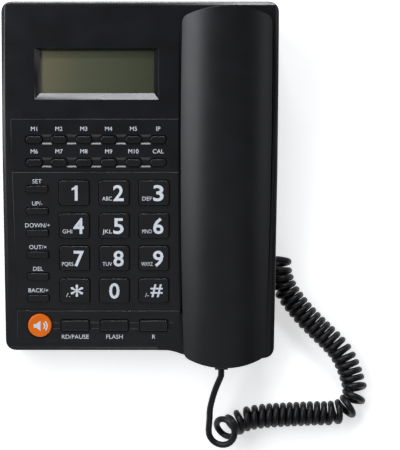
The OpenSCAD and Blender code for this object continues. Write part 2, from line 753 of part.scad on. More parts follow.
// A rubber mat with a dome under each key, whose socket takes the key's stem
module mat(keys, holes = []) {
    low = keys[0][0] < keys[len(keys) - 1][0] ? [keys[0][0], keys[len(keys) - 1][1]] : keys[len(keys) - 1];
    size = [keys[len(keys) - 1][0] - low[0], keys[0][1] - low[1]];
    difference() {
        union() {
            translate([low[0] - mat_edge, low[1] - mat_edge, board_top])
                cube([size[0] + 2 * mat_edge, size[1] + 2 * mat_edge, mat_t]);
            for (p = keys) translate([p[0], p[1], board_top + mat_t / 2])
                cylinder(d = dome_d, h = dome_top - board_top - mat_t / 2);
        }
        for (p = keys) translate([p[0], p[1], stem_end - key_travel - seat])
            cylinder(d = stem_d + 2 * seat, h = key_travel + seat + socket_rise + over);
        for (p = holes) translate([p[0], p[1], board_top - over])
            cylinder(d = small_boss_d + head_gap, h = mat_t + 2 * over);
    }
}

module rubber_key_mats() color("#8b8b84") {
    on_keypad() {
        mat([for (i = [0:11]) number_at(i)], key_board_screws);
        mat([for (i = [0:5]) side_at(i)]);
        mat(concat([speaker_key_at], [for (i = [0:2]) front_at(i)]));
    }
    on_memory() mat([for (i = [0:11]) memory_at(i)], memory_board_screws);
}

cross_w = 0.7;
cross_l = 3.2;

// A screw round the origin: head below z = 0, shaft above it
module screw() {
    translate([0, 0, -head_t]) difference() {
        cylinder(d = screw_head_d, h = head_t);
        for (a = [0, 90]) rotate(a) translate([0, 0, -over]) block(cross_w, cross_l, over + head_t / 2);
    }
    cylinder(d = screw_d, h = screw_len);
}

module base_screws() color("#8d9095") {
    for (p = case_screws) translate([p[0], p[1], head_z]) screw();
    on_keypad() for (p = key_board_screws) translate([p[0], p[1], board_top - board_t]) screw();
    on_memory() for (p = memory_board_screws) translate([p[0], p[1], board_top - board_t]) screw();
    for (p = main_board_screws) translate([p[0], p[1], main_board_z + board_t]) mirror([0, 0, 1]) screw();
}

speaker_rim = 1.6;

module loudspeaker() color("#55585c") translate([speaker_at[0], speaker_at[1], inner_floor]) {
    r = speaker_d / 2;
    rotate_extrude() polygon([
        [0, speaker_h * 0.23], [r - 1.5 * speaker_flat, speaker_h * 0.11], [r - speaker_flat, 0], [r, 0],
        [r, speaker_rim], [r - 2 * speaker_rim, speaker_rim], [r * 0.6, speaker_h * 0.54],
        [r * 0.6, speaker_h], [0, speaker_h]]);
}

switch_h = 8;
switch_size = [14, 7];
switch_z = main_board_z + board_t;
hook_foot = switch_z + switch_h + seat;

module hook_plunger() color("#1b1b1d") translate([hook_x, hook_y, 0]) {
    translate([0, 0, hook_foot]) block(hook_w, hook_l, hook_top - hook_foot);
    translate([0, 0, hook_foot]) block(hook_w + 2 * hook_collar, hook_l + 2 * hook_collar, hook_collar_t);
}

module hook_switch() color("#2b2b30") translate([hook_x, hook_y, switch_z])
    block(switch_size[0], switch_size[1], switch_h);

module jack_shell(w, l, h, hole_w, hole_h, depth) {
    difference() {
        translate([-w / 2, -l, 0]) cube([w, l, h]);
        translate([-hole_w / 2, -depth, (h - hole_h) / 2]) cube([hole_w, depth + over, hole_h]);
    }
}

module line_jack() color("#d8d4c8") translate([line_jack_x, line_y, line_z])
    jack_shell(line_jack_w, line_jack_len, line_jack_h, line_hole[0], line_hole[1], line_hole_depth);

module cord_jack_shell()
    jack_shell(cord_jack_w, cord_jack_len, cord_jack_h,
               plug[0] + 2 * plug_gap, plug[1] + 2 * plug_gap, plug_in + plug_room);

module base_cord_jack() color("#2b2b2e") translate([cord_jack_x, cord_jack_y, cord_jack_base])
    rotate([0, 0, -90]) cord_jack_shell();

// Handset

dome_r = (handset_w * handset_w / 4 + dome_h * dome_h) / (2 * dome_h);
jack_u = handset_len / 2 - wall - 0.6;
jack_w = -0.85;
jack_off = -1.5;
front_inset = 1;
handset_screws_at = [[0, -cup_off / 2], [0, cup_off / 2]];
handset_head_w = side_d + 4;
handset_boss_d = 7;

module dome(inset) {
    translate([0, 0, dome_h - dome_r]) rotate([90, 0, 0])
        cylinder(r = dome_r - inset, h = 2 * handset_len, center = true, $fn = 96);
}

module handset_shape(inset, z0) {
    intersection() {
        translate([0, 0, z0]) linear_extrude(far) polygon(handset_plan(inset));
        dome(inset);
    }
}

module handset_jack_opening() {
    translate([jack_off - plug[0] / 2 - plug_room, -handset_len / 2 - over, jack_w - plug[1] / 2 - plug_room])
        cube([plug[0] + 2 * plug_room, handset_len / 2 - jack_u + 2 * over, plug[1] + 2 * plug_room]);
}

module handset_back_cover() color("#212125") on_handset() difference() {
    union() {
        difference() {
            handset_shape(0, -side_d);
            handset_shape(wall, -side_d - over);
        }
        for (p = handset_screws_at) translate([p[0], p[1], -side_d])
            cylinder(d = handset_boss_d, h = side_d + dome_h - wall / 2);
    }
    handset_jack_opening();
    for (p = handset_screws_at) translate([p[0], p[1], -side_d - over])
        cylinder(d = pilot_d, h = over + screw_len);
}

grip_half = cup_off - cup_len / 2 + 4;
sound_r = 6;
sound_d = 2;
screw_tube_d = screw_head_d + head_gap + 2 * 1.2;

module grip_shape(inset, top) {
    intersection() {
        translate([0, 0, -grip_d + inset]) linear_extrude(grip_d - inset + top)
            polygon(handset_plan(front_inset + inset));
        rotate([90, 0, 0]) linear_extrude(2 * (grip_half - inset), center = true)
            polygon([for (s = [[-1, 1], [1, 1], [1, 2], [1, 3], [-1, 3], [-1, 2]])
                s[1] == 1 ? [s[0] * (handset_w / 2 - grip_lean - inset / 2), -grip_d + inset] :
                [s[0] * (handset_w / 2 - inset), s[1] == 2 ? -side_d - grip_edge : top]]);
    }
}

module cup(side, inset, top) {
    translate([0, side * cup_off, -cup_d + inset]) linear_extrude(cup_d - inset + top)
        rounded(cup_w - 2 * inset, cup_len - 2 * inset, cup_r - inset);
}

module handset_front_cover() color("#1e1e21") on_handset() difference() {
    union() {
        translate([0, 0, -side_d - end_t]) linear_extrude(end_t) polygon(handset_plan(front_inset));
        grip_shape(0, -side_d);
        cup(1, 0, -side_d);
        cup(-1, 0, -side_d);
        for (p = handset_screws_at) translate([p[0], p[1], -grip_d + wall / 4])
            cylinder(d = screw_tube_d, h = grip_d - side_d - wall / 4);
    }
    difference() {
        union() {
            grip_shape(wall, over);
            cup(1, wall, over);
            cup(-1, wall, over);
        }
        for (p = handset_screws_at) translate([p[0], p[1], -grip_d])
            cylinder(d = screw_tube_d, h = grip_d - side_d);
    }
    for (side = [-1, 1]) translate([0, side * cup_off, -cup_d - over]) {
        cylinder(d = sound_d, h = wall + 2 * over);
        for (a = [0:60:300]) rotate(a) translate([sound_r, 0, 0]) cylinder(d = sound_d, h = wall + 2 * over);
    }
    for (p = handset_screws_at) translate([p[0], p[1], 0]) {
        translate([0, 0, -grip_d - over])
            cylinder(d = screw_head_d + head_gap, h = grip_d + over - handset_head_w);
        translate([0, 0, -grip_d - over]) cylinder(d = thread_hole_d, h = grip_d);
    }
}

module handset_receiver() color("#6b6e72") on_handset() translate([0, cup_off, -cup_d + wall + seat]) {
    cylinder(d = receiver_d, h = receiver_d * 0.09);
    cylinder(d = receiver_d * 0.76, h = receiver_d * 0.24);
}

module handset_microphone() color("#b9bcc0") on_handset() translate([0, -cup_off, -cup_d + wall + seat])
    cylinder(d = microphone_d, h = microphone_d * 0.67);

module handset_cord_jack() color("#2b2b2e") on_handset()
    translate([jack_off, -jack_u + touch, jack_w - cord_jack_h / 2]) rotate([0, 0, 180]) cord_jack_shell();

module handset_screws() color("#8d9095") on_handset()
    for (p = handset_screws_at) translate([p[0], p[1], -handset_head_w]) screw();

// Cord
route_steps = 6;
curl_rings = 8;
end_angle = 218;
first_stretch = 0.9;
last_stretch = 0.4;
bend_ease = 1.06;
open_turn = 430;

function unit(v) = v / norm(v);
function catmull(a, b, c, d, t) =
    0.5 * (2 * b + (c - a) * t + (2 * a - 5 * b + 4 * c - d) * t * t + (3 * b - a - 3 * c + d) * t * t * t);
function spline(p, n) =
    let (m = len(p) - 1, q = concat([2 * p[0] - p[1]], p, [2 * p[m] - p[m - 1]]))
    concat([for (i = [0:m - 1], k = [0:n - 1]) catmull(q[i], q[i + 1], q[i + 2], q[i + 3], k / n)], [p[m]]);

axis_points = spline(ROUTE, route_steps);
axis_len = [for (i = 0, s = 0; i < len(axis_points);
    s = s + (i + 1 < len(axis_points) ? norm(axis_points[i + 1] - axis_points[i]) : 0), i = i + 1) s];
axis_x = [for (i = [0:len(axis_len) - 1]) [axis_len[i], axis_points[i][0]]];
axis_y = [for (i = [0:len(axis_len) - 1]) [axis_len[i], axis_points[i][1]]];
axis_z = [for (i = [0:len(axis_len) - 1]) [axis_len[i], axis_points[i][2]]];
route_len = axis_len[len(axis_len) - 1];

function axis_at(s) = [lookup(s, axis_x), lookup(s, axis_y), lookup(s, axis_z)];
function heading(s) = unit(axis_at(s + 2) - axis_at(s - 2));
function bend(s) = let (c = max(3, min(route_len - 3, s))) norm(heading(c + 2) - heading(c - 2)) / 4;
function side_at_s(s) = let (t = heading(s)) unit([t[1], -t[0], 0]);
function pitch(s) =
    (cord_d + curl_space) / (1 - bend_ease * curl_r * bend(s)) *
    (1 + first_stretch * max(0, 1 - s / 7) + last_stretch * max(0, 1 - (route_len - s) / 12));

// Turn of the curl in degrees against the place along the axis
turn_step = 0.5;
raw_turns = [for (s = 0, f = 0; s <= route_len;
    f = f + 360 * turn_step / pitch(s), s = s + turn_step) [f, s]];
raw_total = raw_turns[len(raw_turns) - 1][0];
turn_total = 360 * round((raw_total - end_angle) / 360) + end_angle;
place_of_turn = [for (p = raw_turns) [p[0] * turn_total / raw_total, p[1]]];
curls = turn_total / 360;

function radius_at(f) =
    let (k = min(1, max(0, (f - turn_total + open_turn) / 200)))
    curl_r + (last_curl_r - curl_r) * k * k * (3 - 2 * k);
function curl_out(f) =
    let (s = lookup(f, place_of_turn), side = side_at_s(s), n = cross(side, heading(s)))
    unit(cos(90 + f) * side + sin(90 + f) * n);
function curl_point(f) = axis_at(lookup(f, place_of_turn)) + radius_at(f) * curl_out(f);

ring_count = floor(turn_total * curl_rings / 360);
curl_turns = [for (k = [1:ring_count - 1]) k * 360 / curl_rings];
plug_face_x = ROUTE[0][0] - cord_d - 0.4;
coil_start = [plug_face_x, cord_jack_y, cord_z];
coil_end = curl_point(turn_total);
coil_end_dir = unit(coil_end - curl_point(turn_total - 6));
coil_line = concat(
    [coil_start, coil_start + [cord_d, 0, 0]],
    [for (f = curl_turns) curl_point(f)],
    [coil_end, coil_end + cord_d * coil_end_dir]);
coil_outs = concat(
    [[0, 0, 1], [0, 0, 1]],
    [for (f = curl_turns) curl_out(f)],
    [curl_out(turn_total), curl_out(turn_total)]);
coil_n = len(coil_line);

function line_dir(p, i) =
    i == 0 ? unit(p[1] - p[0]) :
    i == len(p) - 1 ? unit(p[i] - p[i - 1]) :
    unit(unit(p[i + 1] - p[i]) + unit(p[i] - p[i - 1]));

function tube_ring(c, t, out, r, sides, turn) =
    let (b = unit(cross(t, out)), a = cross(b, t))
    [for (k = [0:sides - 1]) c + r * (cos(turn + 360 * k / sides) * a + sin(turn + 360 * k / sides) * b)];

// A tube along points p with the direction t and an outward direction at each of them
module tube(p, dirs, outs, d, sides, turn = 0) {
    n = len(p);
    points = [for (i = [0:n - 1]) each tube_ring(p[i], dirs[i], outs[i], d / 2, sides, turn)];
    polyhedron(points, concat(
        [[for (k = [0:sides - 1]) k]],
        [for (i = [0:n - 2], k = [0:sides - 1])
            let (a = i * sides + k, b = i * sides + (k + 1) % sides) [a, a + sides, b + sides]],
        [for (i = [0:n - 2], k = [0:sides - 1])
            let (a = i * sides + k, b = i * sides + (k + 1) % sides) [a, b + sides, b]],
        [[for (k = [sides - 1:-1:0]) (n - 1) * sides + k]]));
}

coil_dirs = [for (i = [0:coil_n - 1])
    i == 1 ? [1, 0, 0] : i == coil_n - 2 ? coil_end_dir : line_dir(coil_line, i)];

// Least distance between the centreline's points and its parts half a curl or more further on
function to_segment(p, a, b) =
    let (t = max(0, min(1, (p - a) * (b - a) / ((b - a) * (b - a))))) norm(p - a - t * (b - a));
gap_reach = 2.5 * curl_rings;
function least_gap(p) = min([for (i = [0:len(p) - 2], j = [i + 5:min(i + gap_reach, len(p) - 2)])
    min(to_segment(p[i], p[j], p[j + 1]), to_segment(p[j], p[i], p[i + 1]))]) - cord_d;
echo(curls = curls, curl_gap = least_gap(coil_line), coil_end = coil_end, route = route_len);

tail_start = coil_line[coil_n - 1];
tail_plug = [jack_off, -handset_len / 2 - 2.5, jack_w];

function from_handset(p) =
    [handset_x + p[0],
     handset_y + p[1] * cos(handset_tilt) - p[2] * sin(handset_tilt),
     handset_z + p[1] * sin(handset_tilt) + p[2] * cos(handset_tilt)];
tail_end = from_handset(tail_plug);
tail_end_dir = [0, cos(handset_tilt), sin(handset_tilt)];
tail_line = concat(
    [tail_start, tail_start + cord_d * coil_end_dir],
    spline(concat([tail_start + cord_d * coil_end_dir], TAIL, [tail_end - cord_d * tail_end_dir]), 2));
tail_points = concat([tail_line[0]], [for (i = [2:len(tail_line) - 1]) tail_line[i]], [tail_end]);
tail_n = len(tail_points);
tail_dirs = [for (i = [0:tail_n - 1])
    i < 2 ? coil_end_dir : i > tail_n - 3 ? tail_end_dir : line_dir(tail_points, i)];
tail_outs = [for (p = tail_points) coil_outs[coil_n - 1]];

module curly_cord() color("#1d1d1f") tube(coil_line, coil_dirs, coil_outs, cord_d, 6);
module cord_tail() color("#1d1d1f") tube(tail_points, tail_dirs, tail_outs, cord_d, 8);

module base_plug() color("#b9b9b2")
    translate([cord_jack_x - plug_in, cord_jack_y - plug[0] / 2, cord_z - plug[1] / 2])
    cube([plug_face_x - cord_jack_x + plug_in, plug[0], plug[1]]);

module handset_plug() color("#b9b9b2") on_handset()
    translate([jack_off - plug[0] / 2, tail_plug[1], jack_w - plug[1] / 2])
    cube([plug[0], plug_in - jack_u - tail_plug[1], plug[1]]);

base_top_cover();
base_bottom_cover();
display_window();
display_module();
main_board();
key_board();
memory_board();
rubber_key_mats();
hook_plunger();
hook_switch();
line_jack();
base_cord_jack();
loudspeaker();
base_feet();
base_screws();
handset_back_cover();
handset_front_cover();
handset_receiver();
handset_microphone();
handset_cord_jack();
handset_screws();
curly_cord();
cord_tail();
handset_plug();
base_plug();
speaker_key();
for (i = [0:11]) number_key(i);
for (i = [0:11]) memory_key(i);
for (i = [0:5]) side_key(i);
for (i = [0:2]) front_key(i);
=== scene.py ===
# A corded desk telephone with its handset in the cradle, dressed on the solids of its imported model
import math
import bpy
import bmesh
from mathutils import Matrix, Vector


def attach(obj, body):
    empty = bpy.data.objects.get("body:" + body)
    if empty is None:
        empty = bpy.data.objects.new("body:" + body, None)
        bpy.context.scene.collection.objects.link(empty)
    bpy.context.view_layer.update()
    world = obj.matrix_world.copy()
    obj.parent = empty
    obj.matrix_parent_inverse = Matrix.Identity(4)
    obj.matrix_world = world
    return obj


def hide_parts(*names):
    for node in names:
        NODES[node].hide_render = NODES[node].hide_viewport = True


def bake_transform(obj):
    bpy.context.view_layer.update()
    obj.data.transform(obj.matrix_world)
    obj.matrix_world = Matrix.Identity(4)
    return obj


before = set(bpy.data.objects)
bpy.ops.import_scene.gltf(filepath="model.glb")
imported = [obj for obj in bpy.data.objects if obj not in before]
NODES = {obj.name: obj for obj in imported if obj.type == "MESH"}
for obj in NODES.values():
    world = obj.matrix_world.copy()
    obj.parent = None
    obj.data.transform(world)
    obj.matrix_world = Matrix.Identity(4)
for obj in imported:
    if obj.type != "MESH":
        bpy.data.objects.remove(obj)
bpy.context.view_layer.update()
MM = 0.001


def link(made):
    bpy.context.scene.collection.objects.link(made)
    return made


# Camera: straight down over the keypad, with the frame shifted towards the cord

SENSOR_MM = 36
FOCAL_MM = 113.7
SHIFT_X = 65 / 450
CAMERA_AT = (-2.98, -22.3, 870)

lens = bpy.data.cameras.new("camera")
lens.sensor_width = SENSOR_MM
lens.sensor_fit = "AUTO"
lens.lens = FOCAL_MM
lens.shift_x = SHIFT_X
lens.clip_start = 0.05
lens.clip_end = 20
camera = link(bpy.data.objects.new("camera", lens))
camera.location = [c * MM for c in CAMERA_AT]
bpy.context.scene.camera = camera


# Curly cord: one line of points from the base's plug, round every curl, to the handset's plug. Lengths are in mm,
# and turns in degrees, counted from the first curl.

CORD_D = 3.8
CURL_R = 5.6
CURL_SPACE = 0.2  # between neighbouring curls, which lie closer here than in the plain solid
BEND_EASE = 1.06  # spreads the curls on a bend, so that their inner sides stay apart
FIRST_STRETCH, FIRST_REACH = 0.9, 7  # how much wider the first curls stand, and up to where
LAST_STRETCH, LAST_REACH = 0.4, 12
LAST_CURL_R = 7.8  # the last curl hangs open
OPENS_BEFORE_END, OPENS_OVER = 430, 200
END_ANGLE = 218
RINGS_PER_CURL = 24
FIRST_RING = 3
TURN_STEP = 0.5
HEADING_STEP = 2
ENDS_MARGIN = 3
ROUTE_STEPS = 6
ENTRY_STEPS = 4
TAIL_STEPS = 5
ROUTE_Z = 7.6
LOW_ROUTE = [
    (84.5, -43), (85.2, -52), (88.6, -61.5), (95.2, -70.9), (102.4, -79.3), (109.6, -86.4), (116.2, -92.8),
    (122, -99.6), (126.2, -107.8), (129.3, -117), (130.3, -122.5), (128.5, -129.3), (123.3, -134.4),
    (116.3, -136.3), (106, -136.5), (96, -136.9), (86, -137.4), (76, -138.1), (69, -139), (62.7, -140.6)]
RISE = [(56.5, -143.4, 9.1), (51.3, -145.7, 13.2), (48.1, -147.2, 19.2)]
TAIL = [(41.9, -131.5, 21.7), (44.2, -121.5, 25.6)]
BASE_PLUG_XY = (80.3, -43)
BASE_PLUG_LEN = 14.69
HANDSET_PLUG_AT = (-1.5, -107.5, -0.85)  # in the handset's own frame
HANDSET_PLUG_LEN = 13.8
HANDSET_AT = Vector((49.5, -1.4446, 46.9306))
HANDSET_DEG = 8.6699
HANDSET_TILT = math.radians(HANDSET_DEG)


def catmull(a, b, c, d, t):
    return 0.5 * (2 * b + (c - a) * t + (2 * a - 5 * b + 4 * c - d) * t * t
                  + (3 * b - a - 3 * c + d) * t * t * t)


def spline(points, steps):
    """A smooth line through all points, with so many steps from each to the next."""
    q = [2 * points[0] - points[1], *points, 2 * points[-1] - points[-2]]
    line = [catmull(*q[i:i + 4], k / steps) for i in range(len(points) - 1) for k in range(steps)]
    return line + [points[-1]]


axis_points = spline([Vector((x, y, ROUTE_Z)) for x, y in LOW_ROUTE] + [Vector(p) for p in RISE], ROUTE_STEPS)
axis_len = [0.0]
for a, b in zip(axis_points, axis_points[1:]):
    axis_len.append(axis_len[-1] + (b - a).length)
route_len = axis_len[-1]


def looked_up(value, keys, values):
    if value <= keys[0]:
        return values[0]
    for i in range(1, len(keys)):
        if value <= keys[i]:
            t = (value - keys[i - 1]) / (keys[i] - keys[i - 1])
            return values[i - 1] * (1 - t) + values[i] * t
    return values[-1]


def axis_at(s):
    return looked_up(s, axis_len, axis_points)


def heading(s):
    return (axis_at(s + HEADING_STEP) - axis_at(s - HEADING_STEP)).normalized()


def curl_pitch(s):
    """The length of the route that one curl takes, at s along it."""
    c = max(ENDS_MARGIN, min(route_len - ENDS_MARGIN, s))
    bend = (heading(c + HEADING_STEP) - heading(c - HEADING_STEP)).length / (2 * HEADING_STEP)
    stretch = (1 + FIRST_STRETCH * max(0, 1 - s / FIRST_REACH)
               + LAST_STRETCH * max(0, 1 - (route_len - s) / LAST_REACH))
    return (CORD_D + CURL_SPACE) / (1 - BEND_EASE * CURL_R * bend) * stretch


raw_turns, turn_places = [], []
turn, place = 0.0, 0.0
while place <= route_len:
    raw_turns.append(turn)
    turn_places.append(place)
    turn += 360 * TURN_STEP / curl_pitch(place)
    place += TURN_STEP
turn_total = 360 * round((raw_turns[-1] - END_ANGLE) / 360) + END_ANGLE
turn_keys = [f * turn_total / raw_turns[-1] for f in raw_turns]


def curl_point(f):
    """The middle of the cord after f degrees of turns, of which the first stands upright."""
    s = looked_up(f, turn_keys, turn_places)
    t = heading(s)
    side = Vector((t.y, -t.x, 0)).normalized()
    up = side.cross(t)
    a = math.radians(90 + f)
    k = min(1, max(0, (f - turn_total + OPENS_BEFORE_END) / OPENS_OVER))
    r = CURL_R + (LAST_CURL_R - CURL_R) * k * k * (3 - 2 * k)
    return axis_at(s) + r * (math.cos(a) * side + math.sin(a) * up).normalized()


def from_handset(x, y, z):
    """A place in the handset's own frame, as one in the base's."""
    c, s = math.cos(HANDSET_TILT), math.sin(HANDSET_TILT)
    return HANDSET_AT + Vector((x, y * c - z * s, y * s + z * c))


coil_start = Vector((*BASE_PLUG_XY, ROUTE_Z + CURL_R))
ring_count = int(turn_total * RINGS_PER_CURL / 360)
coil_end = curl_point(turn_total)
coil_end_dir = (coil_end - curl_point(turn_total - 6)).normalized()
tail_start = coil_end + CORD_D * coil_end_dir
tail_end = from_handset(*HANDSET_PLUG_AT)
tail_end_dir = Vector((0, math.cos(HANDSET_TILT), math.sin(HANDSET_TILT)))
entry = [coil_start, coil_start + Vector((CORD_D, 0, 0)), curl_point(45), curl_point(60)]
cord_line = spline(entry, ENTRY_STEPS)[:2 * ENTRY_STEPS]
cord_line += [curl_point(k * 360 / RINGS_PER_CURL) for k in range(FIRST_RING, ring_count)]
cord_line += [coil_end, tail_start]
cord_line += spline([tail_start + CORD_D * coil_end_dir, *[Vector(p) for p in TAIL],
                     tail_end - CORD_D * tail_end_dir], TAIL_STEPS)
cord_line += [tail_end]
cord_path = [p * MM for p in cord_line]


def tube(name, path, diameter, sides_quarter):
    """A round tube along a path, smooth but for its flat ends."""
    line = bpy.data.curves.new(name, "CURVE")
    line.dimensions = "3D"
    line.twist_mode = "MINIMUM"
    line.bevel_depth = diameter / 2
    line.bevel_resolution = sides_quarter
    line.use_fill_caps = True
    run = line.splines.new("POLY")
    run.points.add(len(path) - 1)
    for point, p in zip(run.points, path):
        point.co = (*p, 1)
    holder = link(bpy.data.objects.new(name + "_line", line))
    data = bpy.data.meshes.new_from_object(holder)
    data.name = name
    bpy.data.objects.remove(holder)
    for face in data.polygons:
        face.use_smooth = len(face.vertices) == 4
    return data


# Frames of the three slopes of the base and of the handset: origins in mm, tilts in degrees

def tilted(origin, degrees):
    return Matrix.Translation(Vector(origin) * MM) @ Matrix.Rotation(math.radians(degrees), 4, "X")


ON_DISPLAY = tilted((0, 39.1, 48), 5.1022)
ON_MEMORY = tilted((0, 39.1, 48), 7.5697)
ON_KEYPAD = tilted((0, 9, 44), 11.2059)
ON_HANDSET = tilted(HANDSET_AT, HANDSET_DEG)


# Materials

def colour(code):
    """An sRGB hex code as linear red, green, blue and alpha."""
    parts = [int(code[i:i + 2], 16) / 255 for i in (1, 3, 5)]
    return (*[c / 12.92 if c <= 0.04045 else ((c + 0.055) / 1.055) ** 2.4 for c in parts], 1)


def add(tree, kind, values=None, links=None, **settings):
    """Adds one node, sets its settings and its sockets' values, and links sockets from other nodes' outputs."""
    made = tree.nodes.new(kind)
    for name, value in settings.items():
        setattr(made, name, value)
    for name, value in (values or {}).items():
        made.inputs[name].default_value = value
    for name, source in (links or {}).items():
        tree.links.new(source, made.inputs[name])
    return made


def blank(name):
    made = bpy.data.materials.new(name)
    made.use_nodes = True
    made.node_tree.nodes.clear()
    return made, made.node_tree


def output(tree, shader):
    add(tree, "ShaderNodeOutputMaterial", links={"Surface": shader.outputs[0]})


def object_place(tree):
    return add(tree, "ShaderNodeTexCoord").outputs["Object"]


def grain(tree, size_mm, detail=2.0, rough=0.5):
    """Noise over Object coordinates whose bumps are size_mm apart."""
    return add(tree, "ShaderNodeTexNoise", {"Scale": 1 / (size_mm * MM), "Detail": detail, "Roughness": rough},
               {"Vector": object_place(tree)})


def ranged(tree, source, low, high):
    """Noise turned into numbers from low to high."""
    return add(tree, "ShaderNodeMapRange", {"From Min": 0.3, "From Max": 0.7, "To Min": low, "To Max": high},
               {"Value": source}).outputs["Result"]


def two_tone(tree, source, dark, light, low=0.35, high=0.65):
    """Noise turned into tones: dark up to low, light from high on."""
    ramp = add(tree, "ShaderNodeValToRGB", links={"Fac": source})
    ramp.color_ramp.elements[0].position = low
    ramp.color_ramp.elements[0].color = colour(dark)
    ramp.color_ramp.elements[1].position = high
    ramp.color_ramp.elements[1].color = colour(light)
    return ramp.outputs["Color"]


TONE_MM = 14  # how far apart moulded plastic is darker and lighter


def moulded(name, dark, light, rough, grain_mm, height_mm, ior=1.53, coat=0.0):
    """Moulded plastic: two near tones, roughness that wanders a little and the fine texture of the tool."""
    made, tree = blank(name)
    fine = grain(tree, grain_mm, 3.0, 0.6)
    slow = grain(tree, TONE_MM)
    bump = add(tree, "ShaderNodeBump", {"Strength": 0.6, "Distance": height_mm * MM},
               {"Height": fine.outputs["Fac"]})
    shader = add(tree, "ShaderNodeBsdfPrincipled", {"IOR": ior, "Coat Weight": coat, "Coat Roughness": 0.12},
                 {"Base Color": two_tone(tree, slow.outputs["Fac"], dark, light),
                  "Roughness": ranged(tree, slow.outputs["Fac"], rough - 0.01, rough + 0.02),
                  "Normal": bump.outputs["Normal"]})
    output(tree, shader)
    return made


# ABS from a spark-eroded tool: a fine even mat skin, near black, that scatters a lamp into a broad glow
case_abs = moulded("ABS_spark_eroded_black", "#141417", "#18181c", 0.28, 0.35, 0.003)
# The same ABS from the plainer lower tool: a little greyer and duller
floor_abs = moulded("ABS_moulded_charcoal", "#1b1b1e", "#212125", 0.48, 0.6, 0.012)
# ABS from a semi-polished tool: smoother, so that the lamps draw long soft streaks along the dome
handset_abs = moulded("ABS_satin_black", "#101013", "#141418", 0.34, 0.5, 0.004)
# Key caps of ABS, satin, a touch darker than the case
key_abs = moulded("ABS_key_cap_black", "#131315", "#17171a", 0.30, 0.4, 0.004)
# Through-coloured glossy ABS
orange_abs = moulded("ABS_gloss_orange", "#f56f00", "#fb7d06", 0.24, 1.2, 0.004, coat=0.12)
# Pad-printed two-part ink, bluish white, with a slightly uneven film
white_ink = moulded("pad_printed_ink_white", "#dfe6ee", "#eef3f8", 0.55, 0.5, 0.006)
# Glass-filled nylon: black for the hook's parts and the cord's jacks, ivory for the line's jack
black_nylon = moulded("nylon_moulded_black", "#222224", "#2a2a2d", 0.48, 0.8, 0.010)
ivory_nylon = moulded("nylon_moulded_ivory", "#d3cdbc", "#dcd6c6", 0.45, 0.8, 0.010)
# Flexible PVC jacket, drawn smooth: a soft sheen along each curl
cord_pvc = moulded("PVC_jacket_black", "#08080a", "#0c0c0e", 0.42, 1.5, 0.008, ior=1.42)
# Synthetic rubber feet with a mat skin
foot_rubber = moulded("rubber_moulded_dark_grey", "#2a2a2c", "#323235", 0.75, 0.7, 0.02)
# Silicone rubber of the key mats
silicone = moulded("silicone_rubber_grey", "#7f7f79", "#8d8d87", 0.6, 1.0, 0.015)


def clear(name, tone, rough, ior):
    """Clear moulded plastic: light goes through it, and tiny flow marks bend it."""
    made, tree = blank(name)
    flow = grain(tree, 6, 1.0)
    bump = add(tree, "ShaderNodeBump", {"Strength": 0.2, "Distance": 0.02 * MM},
               {"Height": flow.outputs["Fac"]})
    shader = add(tree, "ShaderNodeBsdfPrincipled", {"IOR": ior, "Transmission Weight": 1.0},
                 {"Base Color": two_tone(tree, flow.outputs["Fac"], tone, "#ffffff", 0.2, 0.9),
                  "Roughness": ranged(tree, flow.outputs["Fac"], rough, rough + 0.03),
                  "Normal": bump.outputs["Normal"]})
    output(tree, shader)
    return made


# Polycarbonate plugs
plug_pc = clear("polycarbonate_clear", "#e8ebe8", 0.06, 1.58)


def metal(name, dark, light, rough, grain_mm):
    made, tree = blank(name)
    fine = grain(tree, grain_mm)
    shader = add(tree, "ShaderNodeBsdfPrincipled", {"Metallic": 1.0},
                 {"Base Color": two_tone(tree, fine.outputs["Fac"], dark, light),
                  "Roughness": ranged(tree, fine.outputs["Fac"], rough, rough + 0.12)})
    output(tree, shader)
    return made


# Zinc-plated screws, the pressed shells of loudspeaker, receiver and microphone, and the gilt contacts
zinc = metal("steel_zinc_plated", "#9ea2a6", "#b9bcc0", 0.3, 1.0)
pressed_steel = metal("steel_pressed_plated", "#767a80", "#8d9196", 0.38, 2.0)
gold = metal("contact_gold_plated", "#d8ab4c", "#e8c473", 0.22, 1.0)


def board_finish():
    """Glass-epoxy under green solder mask: copper lanes lie under it as slightly lighter lines."""
    made, tree = blank("FR4_solder_mask_green")
    lanes = add(tree, "ShaderNodeTexBrick",
                {"Scale": 1 / (14 * MM), "Color1": colour("#1f5a2c"), "Color2": colour("#2b6d38"),
                 "Mortar": colour("#3d8a4b"), "Mortar Size": 0.03, "Brick Width": 0.7, "Row Height": 0.22},
                {"Vector": object_place(tree)})
    shader = add(tree, "ShaderNodeBsdfPrincipled", {"IOR": 1.55, "Roughness": 0.3},
                 {"Base Color": lanes.outputs["Color"]})
    output(tree, shader)
    return made


board_mask = board_finish()

GLASS_LEFT, GLASS_RIGHT = -58, 8


